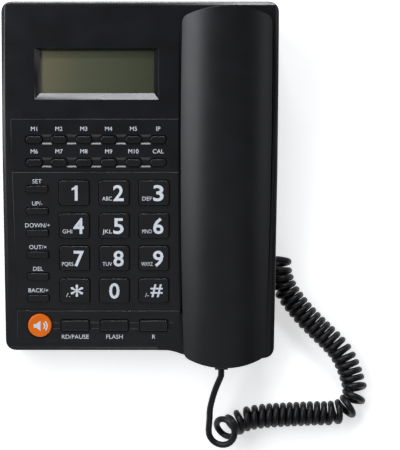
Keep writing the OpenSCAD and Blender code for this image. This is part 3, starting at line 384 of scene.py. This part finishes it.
def lcd_with_painted_reflection():
    """Liquid crystal glass with nothing shown: grey-olive, with a painted reflection that makes it warmer and
    lighter towards its left end.
    """
    made, tree = blank("liquid_crystal_olive_painted_reflection")
    place = add(tree, "ShaderNodeSeparateXYZ", links={"Vector": object_place(tree)})
    across = add(tree, "ShaderNodeMapRange", {"From Min": GLASS_LEFT * MM, "From Max": GLASS_RIGHT * MM},
                 {"Value": place.outputs["X"]})
    # Painted reflection: this ramp lightens and warms the olive glass from its right end to its left across x
    ramp = add(tree, "ShaderNodeValToRGB", links={"Fac": across.outputs["Result"]})
    ramp.color_ramp.elements[0].color = colour("#878267")
    ramp.color_ramp.elements[1].color = colour("#4d533f")
    middle = ramp.color_ramp.elements.new(0.35)
    middle.color = colour("#6a6d56")
    speck = grain(tree, 3)
    mixed = add(tree, "ShaderNodeMix", {"Factor": 0.06},
                {"A": ramp.outputs["Color"], "B": speck.outputs["Color"]},
                data_type="RGBA", blend_type="OVERLAY")
    shader = add(tree, "ShaderNodeBsdfPrincipled", {"IOR": 1.5, "Roughness": 0.25},
                 {"Base Color": mixed.outputs["Result"]})
    output(tree, shader)
    return made


lcd_olive_and_painted_reflection = lcd_with_painted_reflection()


def display_pane():
    """Thin clear acrylic over the display: almost all of it is seen through, with a faint gloss."""
    made, tree = blank("acrylic_window_clear")
    flow = grain(tree, 20, 1.0)
    shader = add(tree, "ShaderNodeBsdfPrincipled",
                 {"IOR": 1.49, "Alpha": 0.12, "Base Color": colour("#3c3d33")},
                 {"Roughness": ranged(tree, flow.outputs["Fac"], 0.05, 0.1)})
    output(tree, shader)
    return made


pane_acrylic = display_pane()


# Meshes

JOIN_MM = 0.002
FLAT_DEG = 0.4
SHARP_DEG = 32
TOUCHING = 0.02  # mm within which a point counts as lying in a slope


def copy_of(node):
    """A CAD node's triangles as one closed bmesh with its flat faces joined up."""
    work = bmesh.new()
    work.from_mesh(NODES[node].data)
    bmesh.ops.remove_doubles(work, verts=work.verts, dist=JOIN_MM * MM)
    bmesh.ops.dissolve_limit(work, angle_limit=math.radians(FLAT_DEG), verts=work.verts, edges=work.edges)
    return work


def soften(work, edges, width_mm, segments=3, clamp=True):
    if edges:
        bmesh.ops.bevel(work, geom=edges, offset=width_mm * MM, offset_type="OFFSET", segments=segments,
                        profile=0.5, affect="EDGES", clamp_overlap=clamp, material=-1)


def corners_of(work, least_deg, test):
    """Edges that stand out by more than least_deg and whose ends pass the test."""
    work.normal_update()
    found = []
    for edge in work.edges:
        if len(edge.link_faces) == 2 and edge.calc_face_angle_signed(0) > math.radians(least_deg):
            if all(test(v.co) for v in edge.verts):
                found.append(edge)
    return found


def put(name, work, body, finish, stands_for=()):
    """Turns a bmesh into a piece that rides on a body, smooth up to SHARP_DEG, and hides what it stands for."""
    data = bpy.data.meshes.new(name)
    work.normal_update()
    for face in work.faces:
        face.smooth = True
    for edge in work.edges:
        edge.smooth = len(edge.link_faces) == 2 and edge.calc_face_angle(0) < math.radians(SHARP_DEG)
    work.to_mesh(data)
    work.free()
    data.materials.append(finish)
    made = link(bpy.data.objects.new(name, data))
    weighted = made.modifiers.new("even_normals", "WEIGHTED_NORMAL")
    weighted.keep_sharp = True
    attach(made, body)
    if stands_for:
        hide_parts(*stands_for)
    return made


def finish_node(node, finish):
    """Gives a CAD node that stays its real finish."""
    kept = NODES[node]
    if not kept.material_slots:
        kept.data.materials.append(finish)
    for place in kept.material_slots:
        place.link = "OBJECT"
        place.material = finish


# Plugs: clear bodies with a latch on top, the cord's flattened end inside and four contacts at the nose.
# In a plug's own frame y runs from its rear, where the cord goes in, to its nose, and z points to the latch.

PINS_X = (-1.53, -0.51, 0.51, 1.53)
PIN_HALF = 0.16


def prism(work, outline, x0, x1):
    """Adds a solid whose outline is given as (y, z) points, anticlockwise as seen from +X, in mm."""
    near = [work.verts.new((x0, y, z)) for y, z in outline]
    far = [work.verts.new((x1, y, z)) for y, z in outline]
    work.faces.new(near[::-1])
    work.faces.new(far)
    for i in range(len(outline)):
        j = (i + 1) % len(outline)
        work.faces.new((near[i], near[j], far[j], far[i]))


def everywhere(work, width_mm, segments=2):
    """Eases every corner of a shape drawn in mm."""
    bmesh.ops.recalc_face_normals(work, faces=work.faces)
    sharp = [e for e in work.edges if len(e.link_faces) == 2 and e.calc_face_angle(0) > 0.5]
    soften(work, sharp, width_mm / MM, segments)


def drawn(outline, half_mm, ease_mm, segments=2):
    """A prism as wide as twice half_mm, with its corners eased."""
    work = bmesh.new()
    prism(work, outline, -half_mm, half_mm)
    everywhere(work, ease_mm, segments)
    return work


def dressed_plug(node, place, length, body):
    shell = drawn([(0, -2.7), (0.5, -3.2), (length - 0.8, -3.2), (length, -2.4), (length, 1.6), (0, 1.6)],
                  3.8, 0.25)
    latch = drawn([(length - 2.4, 1.3), (length - 0.5, 1.3), (length - 0.5, 2.2), (length - 3, 3.1),
                   (1.2, 3.15), (1.2, 2.45), (length - 3.4, 2.35)], 1.6, 0.12)
    cord_end = drawn([(0.3, -2.0), (6.2, -2.0), (6.2, 0.6), (0.3, 0.6)], 2.3, 0.8, 3)
    contacts = bmesh.new()
    for x in PINS_X:
        prism(contacts, [(length - 4, -3.12), (length - 1.2, -3.12), (length - 1.2, -1.4), (length - 4, -0.9)],
              x - PIN_HALF, x + PIN_HALF)
    everywhere(contacts, 0.05)
    pieces = []
    for part, work, finish in [("shell", shell, plug_pc), ("latch", latch, plug_pc),
                               ("cord_end", cord_end, cord_pvc), ("contacts", contacts, gold)]:
        bmesh.ops.transform(work, matrix=place @ Matrix.Scale(MM, 4), verts=work.verts)
        pieces.append(put(f"{node}_{part}", work, body, finish, [node] if part == "shell" else []))
    return pieces


base_plug_rear = Matrix.Translation(coil_start * MM) @ Matrix.Rotation(math.radians(90), 4, "Z")
handset_plug_rear = ON_HANDSET @ Matrix.Translation(Vector(HANDSET_PLUG_AT) * MM)
plug_pieces = dressed_plug("base_plug", base_plug_rear, BASE_PLUG_LEN, "base")
plug_pieces += dressed_plug("handset_plug", handset_plug_rear, HANDSET_PLUG_LEN, "handset")


# Cord: one round tube along the cord's line, in place of the CAD cord and its tail

SIDES_QUARTER = 5

cord_mesh = tube("curly_cord_jacket", cord_path, CORD_D * MM, SIDES_QUARTER)
cord = link(bpy.data.objects.new("curly_cord_jacket", cord_mesh))
cord.data.materials.append(cord_pvc)
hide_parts("curly_cord", "cord_tail")
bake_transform(cord)


# Keys: each cap keeps the CAD shape, with a small radius round its top. Places are in mm on the key's slope.

KEY_TOP = 1.7
KEY_CORNER_DEG = 50
NUMBER_NODES = ["key_1", "key_2", "key_3", "key_4", "key_5", "key_6", "key_7", "key_8", "key_9",
                "key_star", "key_0", "key_hash"]
MEMORY_NODES = ["key_m1", "key_m2", "key_m3", "key_m4", "key_m5", "key_ip",
                "key_m6", "key_m7", "key_m8", "key_m9", "key_m10", "key_cal"]
SIDE_NODES = ["key_set", "key_up", "key_down", "key_out", "key_del", "key_back"]
FRONT_NODES = ["key_redial", "key_flash", "key_recall"]
SPEAKER_KEY_AT = (-59.4, -92.5)


def number_at(i):
    return -38.45 + (i % 3) * 23.3, -12.6 - (i // 3) * 19.5


def dressed_key(node, panel, finish, radius_mm):
    work = copy_of(node)
    back = panel.inverted()
    top = max((back @ v.co).z for v in work.verts)
    rim = corners_of(work, KEY_CORNER_DEG, lambda p: (back @ p).z > top - 0.01 * MM)
    soften(work, rim, radius_mm, 4)
    put(node + "_cap", work, node, finish, [node])


for nodes, panel, radius_mm in [(NUMBER_NODES, ON_KEYPAD, 0.45), (MEMORY_NODES, ON_MEMORY, 0.5),
                                (SIDE_NODES, ON_KEYPAD, 0.4), (FRONT_NODES, ON_KEYPAD, 0.5)]:
    for node in nodes:
        dressed_key(node, panel, key_abs, radius_mm)
dressed_key("speaker_key", ON_KEYPAD, orange_abs, 0.7)


# Printed signs

INK_T = 0.03
TEXT_EXTRUDE = 0.001


def flat_text(words, bold):
    face = bpy.data.curves.new("words", "FONT")
    face.body = words
    face.align_x = "CENTER"
    face.size = 1
    face.offset = bold
    face.extrude = TEXT_EXTRUDE
    face.resolution_u = 3
    holder = link(bpy.data.objects.new("words", face))
    data = bpy.data.meshes.new_from_object(holder)
    bpy.data.objects.remove(holder)
    return data


def height_of(data):
    return min(v.co.y for v in data.vertices), max(v.co.y for v in data.vertices)


CAP_LOW, CAP_HIGH = height_of(flat_text("H", 0))


def words_in(work, words, panel, x, y, z, cap_mm, width_mm=None, bold=0.0, own_height=False):
    """Adds words to a bmesh, centred at x, y of a panel. cap_mm is the height of their capitals, or their own."""
    data = flat_text(words, bold)
    low, high = height_of(data) if own_height else (CAP_LOW, CAP_HIGH)
    left, right = min(v.co.x for v in data.vertices), max(v.co.x for v in data.vertices)
    tall = cap_mm / (high - low)
    wide = width_mm / (right - left) if width_mm else tall
    data.transform(Matrix.Translation((-(left + right) / 2, -(low + high) / 2, 0)))
    data.transform(Matrix.Diagonal((wide * MM, tall * MM, INK_T / (2 * TEXT_EXTRUDE) * MM, 1)))
    data.transform(panel @ Matrix.Translation((x * MM, y * MM, z * MM)))
    work.from_mesh(data)
    bpy.data.meshes.remove(data)


def printed_shape(work, corners, panel, x, y, z):
    """Adds a thin flat shape to a bmesh: corners run anticlockwise, in mm round x, y of a panel."""
    low = [work.verts.new((a, b, 0)) for a, b in corners]
    high = [work.verts.new((a, b, INK_T)) for a, b in corners]
    work.faces.new(low[::-1])
    work.faces.new(high)
    for i in range(len(corners)):
        j = (i + 1) % len(corners)
        work.faces.new((low[i], low[j], high[j], high[i]))
    place = panel @ Matrix.Translation((x * MM, y * MM, z * MM)) @ Matrix.Scale(MM, 4)
    bmesh.ops.transform(work, matrix=place, verts=low + high)


# The figures stand a little right of each key's middle, with their letters at the lower left
ONE = [(-0.1, -4.45), (1.6, -4.45), (1.6, 4.45), (0.4, 4.45), (-0.5, 3.6), (-1.9, 2.9), (-1.9, 1.6), (-0.1, 2.3)]
LETTERS_WIDE = {3: 5.6, 4: 6.6}
DIGITS = [("1", ""), ("2", "ABC"), ("3", "DEF"), ("4", "GHI"), ("5", "JKL"), ("6", "MNO"),
          ("7", "PQRS"), ("8", "TUV"), ("9", "WXYZ"), ("*", "/."), ("0", ""), ("#", "/-")]
for i, (digit, letters) in enumerate(DIGITS):
    x, y = number_at(i)
    ink = bmesh.new()
    if digit == "*":
        words_in(ink, digit, ON_KEYPAD, x + 1.2, y, KEY_TOP, 7.6, 7.4, 0.01, own_height=True)
    elif digit == "#":
        words_in(ink, digit, ON_KEYPAD, x + 1.6, y, KEY_TOP, 7.8, 7.2, 0.012, own_height=True)
    elif digit == "1":
        printed_shape(ink, ONE, ON_KEYPAD, x + 0.5, y - 0.1, KEY_TOP)
    else:
        words_in(ink, digit, ON_KEYPAD, x + (2.5 if letters else 0), y - 0.1, KEY_TOP, 8.9, 6.1, 0.018)
    if letters.isalpha():
        words_in(ink, letters, ON_KEYPAD, x - 4.1, y - 3.3, KEY_TOP, 2.3, LETTERS_WIDE[len(letters)])
    elif letters:
        words_in(ink, letters, ON_KEYPAD, x - 4.0, y - 2.6, KEY_TOP, 2.4, 2.4)
    put(NUMBER_NODES[i] + "_print", ink, NUMBER_NODES[i], white_ink)

PANEL_Z = 0.5
MEMORY_WORDS = ["M1", "M2", "M3", "M4", "M5", "IP", "M6", "M7", "M8", "M9", "M10", "CAL"]
SIDE_WORDS = ["SET", "UP/-", "DOWN/+", "OUT/×", "DEL", "BACK/+"]
FRONT_WORDS = ["RD/PAUSE", "FLASH", "R"]


def labels(name, panel, cap_mm, words, places):
    """One piece of print on the case: the words of a group of keys at their places."""
    ink = bmesh.new()
    for text, (x, y) in zip(words, places):
        words_in(ink, text, panel, x, y, PANEL_Z, cap_mm)
    put(name, ink, "base", white_ink)


labels("memory_key_labels", ON_MEMORY, 2.4, MEMORY_WORDS,
       [(-61.4 + (i % 6) * 14.38, -5.7 if i < 6 else -18.8) for i in range(12)])
labels("side_key_labels", ON_KEYPAD, 2.4, SIDE_WORDS, [(-60, -10.4 - 13.05 * i + 4.5) for i in range(6)])
labels("front_key_labels", ON_KEYPAD, 2.5, FRONT_WORDS, [(-38.45 + 23.3 * i, -99.5) for i in range(3)])

WAVES_X = 0.3
WAVES_R = (2.6, 4.0)
WAVE_HALF_T = 0.38
WAVE_SWEEP = 1.5  # radians


def loudspeaker_sign():
    """A plain pictogram: a box, its horn and two waves."""
    work = bmesh.new()
    horn = [(-3.6, -1.1), (-2.2, -1.1), (0.4, -3.1), (0.4, 3.1), (-2.2, 1.1), (-3.6, 1.1)]
    work.faces.new([work.verts.new((a, b, 0)) for a, b in horn])
    start = -WAVE_SWEEP / 2
    for radius in WAVES_R:
        ends = [work.verts.new((WAVES_X + r * math.cos(start), r * math.sin(start), 0))
                for r in (radius - WAVE_HALF_T, radius + WAVE_HALF_T)]
        bmesh.ops.spin(work, geom=[work.edges.new(ends), *ends], cent=(WAVES_X, 0, 0), axis=(0, 0, 1),
                       angle=WAVE_SWEEP, steps=10)
    bmesh.ops.recalc_face_normals(work, faces=work.faces)
    for face in work.faces:
        if face.normal.z < 0:
            face.normal_flip()
    lifted = bmesh.ops.extrude_face_region(work, geom=work.faces)
    upper = [v for v in lifted["geom"] if isinstance(v, bmesh.types.BMVert)]
    bmesh.ops.translate(work, verts=upper, vec=(0, 0, INK_T))
    bmesh.ops.recalc_face_normals(work, faces=work.faces)
    x, y = SPEAKER_KEY_AT
    place = ON_KEYPAD @ Matrix.Translation((x * MM, y * MM, KEY_TOP * MM)) @ Matrix.Scale(MM, 4)
    bmesh.ops.transform(work, matrix=place, verts=work.verts)
    put("speaker_key_print", work, "speaker_key", white_ink)


loudspeaker_sign()


# Covers of the base and the handset. Each test picks edges by the angle of their fold, in degrees, and by place.

LEAST_FOLD = 12
OUTER_X, OUTER_Y, RIM_Z = 75, 90, 19
WINDOW_X, WINDOW_Y = (-66, 16), (45, 90)
PANELS_LEFT = -72
PANEL_ROWS = (39.03, 9.43, 8.41, -72.12, -73.1, -92.0)  # y of the panels' level edges
PANELS_MEET = 9.3
FOOT_Z = (1.5, 1.9)
DOME_LOW, SEAM_HIGH = -0.6, -5.9  # heights on the handset's own slope


def between_faces(work, test):
    """Edges between two faces that stand out and pass the test."""
    work.normal_update()
    found = []
    for edge in work.edges:
        if len(edge.link_faces) == 2:
            angle = math.degrees(edge.calc_face_angle_signed(0))
            if angle > LEAST_FOLD and test(edge, angle):
                found.append(edge)
    return found


def heights(edge, panel):
    back = panel.inverted()
    return [(back @ v.co).z / MM for v in edge.verts]


def above(edge, z_mm):
    return min(v.co.z for v in edge.verts) > z_mm * MM


def top_rim(edge, angle):
    """The rim where the top of the base, or its shoulder, meets the upright wall round the outside."""
    side, upper = sorted((face.normal for face in edge.link_faces), key=lambda normal: normal.z)
    middle = (edge.verts[0].co + edge.verts[1].co) / 2
    out_x = abs(middle.x) > OUTER_X * MM and side.x * middle.x > 0
    out_y = abs(middle.y) > OUTER_Y * MM and side.y * middle.y > 0
    return (out_x or out_y) and angle > 50 and above(edge, RIM_Z) and upper.z > 0.75 and abs(side.z) < 0.4


def at_panel_top(edge):
    return any(all(abs(h - PANEL_Z) < TOUCHING for h in heights(edge, panel)) for panel in (ON_MEMORY, ON_KEYPAD))


def low_side(edge):
    """Whether the upright face beside an edge of a panel goes deeper than the panel is thick."""
    panel = ON_MEMORY if edge.verts[0].co.y > PANELS_MEET * MM else ON_KEYPAD
    back = panel.inverted()
    return min((back @ v.co).z for face in edge.link_faces for v in face.verts) < -0.1 * MM


def on_outline(point):
    return point.x < PANELS_LEFT * MM or any(abs(point.y - y * MM) < 0.1 * MM for y in PANEL_ROWS)


def panel_outline(edge, angle):
    """The outer edges of the raised panels: their level rows and their left ends."""
    return angle > 60 and all(on_outline(v.co) for v in edge.verts) and at_panel_top(edge) and not low_side(edge)


def hole_rim(edge, angle):
    """The rims of the holes and channels in the panels."""
    return angle > 60 and at_panel_top(edge) and low_side(edge)


def window_frame(edge, _):
    inside = all(WINDOW_X[0] * MM < v.co.x < WINDOW_X[1] * MM and WINDOW_Y[0] * MM < v.co.y < WINDOW_Y[1] * MM
                 for v in edge.verts)
    return inside and all(abs(h) < TOUCHING for h in heights(edge, ON_DISPLAY))


def foot_line(edge, angle):
    """The low edge of the base's lower cover."""
    faces_down = min(face.normal.z for face in edge.link_faces) < -0.9
    return angle > 50 and faces_down and above(edge, FOOT_Z[0]) and not above(edge, FOOT_Z[1])


def dome_rim(edge, angle):
    return angle > 30 and min(heights(edge, ON_HANDSET)) > DOME_LOW


def seam(edge, angle):
    return angle > 50 and max(heights(edge, ON_HANDSET)) < SEAM_HIGH


def grip_edges(_, angle):
    return angle > 40


work = copy_of("base_top_cover")
soften(work, between_faces(work, top_rim), 0.35, clamp=False)
soften(work, between_faces(work, panel_outline), 0.4, clamp=False)
soften(work, between_faces(work, window_frame), 0.12, 2)
soften(work, between_faces(work, hole_rim), 0.16, 2, clamp=False)
put("base_top_cover_shell", work, "base", case_abs, ["base_top_cover"])

work = copy_of("base_bottom_cover")
soften(work, between_faces(work, foot_line), 0.4, 2)
put("base_bottom_cover_shell", work, "base", floor_abs, ["base_bottom_cover"])

work = copy_of("handset_back_cover")
soften(work, between_faces(work, dome_rim), 1.0, 4)
soften(work, between_faces(work, seam), 0.25, 2)
put("handset_back_cover_shell", work, "handset", handset_abs, ["handset_back_cover"])

work = copy_of("handset_front_cover")
soften(work, between_faces(work, grip_edges), 0.5)
put("handset_front_cover_shell", work, "handset", handset_abs, ["handset_front_cover"])


# Small parts: each keeps its CAD shape with its corners eased

def eased(node, body, finish, width_mm, least_deg=50):
    work = copy_of(node)
    soften(work, corners_of(work, least_deg, lambda p: True), width_mm)
    put(node + "_eased", work, body, finish, [node])


eased("hook_plunger", "hook_plunger", black_nylon, 0.5)
eased("base_feet", "base", foot_rubber, 0.7)
eased("line_jack", "base", ivory_nylon, 0.25)
eased("base_cord_jack", "base", black_nylon, 0.25)
eased("handset_cord_jack", "handset", black_nylon, 0.25)
eased("hook_switch", "base", black_nylon, 0.4)
eased("loudspeaker", "base", pressed_steel, 0.3, 40)
eased("handset_receiver", "handset", pressed_steel, 0.3, 40)
eased("handset_microphone", "handset", pressed_steel, 0.3, 40)

CONTACTS_AT = (-38, 92.5, 16.85)
CONTACT_STEP = 1.27
CONTACT_SIZE = (0.35, 9, 0.24)

line_contacts = bmesh.new()
for i in range(4):
    x, y, z = CONTACTS_AT[0] + CONTACT_STEP * (i - 1.5), CONTACTS_AT[1], CONTACTS_AT[2]
    bmesh.ops.create_cube(line_contacts, size=1, matrix=Matrix.Translation((x * MM, y * MM, z * MM))
                          @ Matrix.Diagonal((*[c * MM for c in CONTACT_SIZE], 1)))
soften(line_contacts, list(line_contacts.edges), 0.05, 1)
put("line_jack_contacts", line_contacts, "base", gold)

for node, finish in [
        ("display_window", pane_acrylic), ("display_module", lcd_olive_and_painted_reflection), ("main_board", board_mask),
        ("key_board", board_mask), ("memory_board", board_mask), ("rubber_key_mats", silicone),
        ("base_screws", zinc), ("handset_screws", zinc)]:
    finish_node(node, finish)


# Room, in metres: a pale floor under the phone and soft lamps round it

FLOOR_HALF = 3.0
FLOOR_Z = -0.0002
LAMP_TONE = (0.94, 0.96, 1.0)
LAMPS_AIM = Vector((0, 0, 0.03))


def floor_finish():
    """Pale painted floor: diffuse, with a little light of its own for the eye, so that shadows stay soft."""
    made, tree = blank("floor_paint_white")
    path = add(tree, "ShaderNodeLightPath")
    seen = add(tree, "ShaderNodeMath", links={0: path.outputs["Is Camera Ray"], 1: path.outputs["Is Glossy Ray"]},
               operation="ADD")
    seen = add(tree, "ShaderNodeMath", links={0: seen.outputs[0], 1: path.outputs["Is Transmission Ray"]},
               operation="ADD", use_clamp=True)
    lift = add(tree, "ShaderNodeMath", {1: 0.55}, {0: seen.outputs[0]}, operation="MULTIPLY")
    shader = add(tree, "ShaderNodeBsdfPrincipled",
                 {"Base Color": colour("#f4f4f4"), "Roughness": 0.9, "Specular IOR Level": 0.1,
                  "Emission Color": (1, 1, 1, 1)},
                 {"Emission Strength": lift.outputs[0]})
    output(tree, shader)
    return made


floor_mesh = bmesh.new()
bmesh.ops.create_grid(floor_mesh, x_segments=2, y_segments=2, size=FLOOR_HALF)
bmesh.ops.translate(floor_mesh, verts=floor_mesh.verts, vec=(0, 0, FLOOR_Z))
floor_data = bpy.data.meshes.new("floor")
floor_mesh.to_mesh(floor_data)
floor_mesh.free()
floor_data.materials.append(floor_finish())
floor = link(bpy.data.objects.new("floor", floor_data))

world = bpy.data.worlds.new("studio")
bpy.context.scene.world = world
world.use_nodes = True
world.node_tree.nodes.clear()
sky = add(world.node_tree, "ShaderNodeBackground", {"Color": colour("#c4c7cc"), "Strength": 0.1})
add(world.node_tree, "ShaderNodeOutputWorld", links={"Surface": sky.outputs[0]})


def lamp(name, place, wide, tall, watts):
    """A soft box at a place that faces the phone: wide is its level side, tall its upright one."""
    light = bpy.data.lights.new(name, "AREA")
    light.shape = "RECTANGLE"
    light.size, light.size_y = wide, tall
    light.energy = watts
    light.color = LAMP_TONE
    made = link(bpy.data.objects.new(name, light))
    made.location = place
    made.rotation_mode = "QUATERNION"
    made.rotation_quaternion = (LAMPS_AIM - Vector(place)).to_track_quat("-Z", "Y")


lamp("softbox_back", (0.0, 1.5, 1.15), 0.9, 0.25, 18)
lamp("softbox_left", (-1.05, 0.35, 1.27), 1.6, 0.8, 19)
lamp("softbox_right", (1.5, 0.25, 1.08), 1.6, 0.35, 2.4)
lamp("softbox_front", (0.1, -1.6, 1.0), 1.2, 0.5, 3)
lamp("softbox_over_front", (0.1, -0.75, 1.45), 1.4, 0.8, 0.8)

bpy.context.scene.view_settings.view_transform = "Standard"
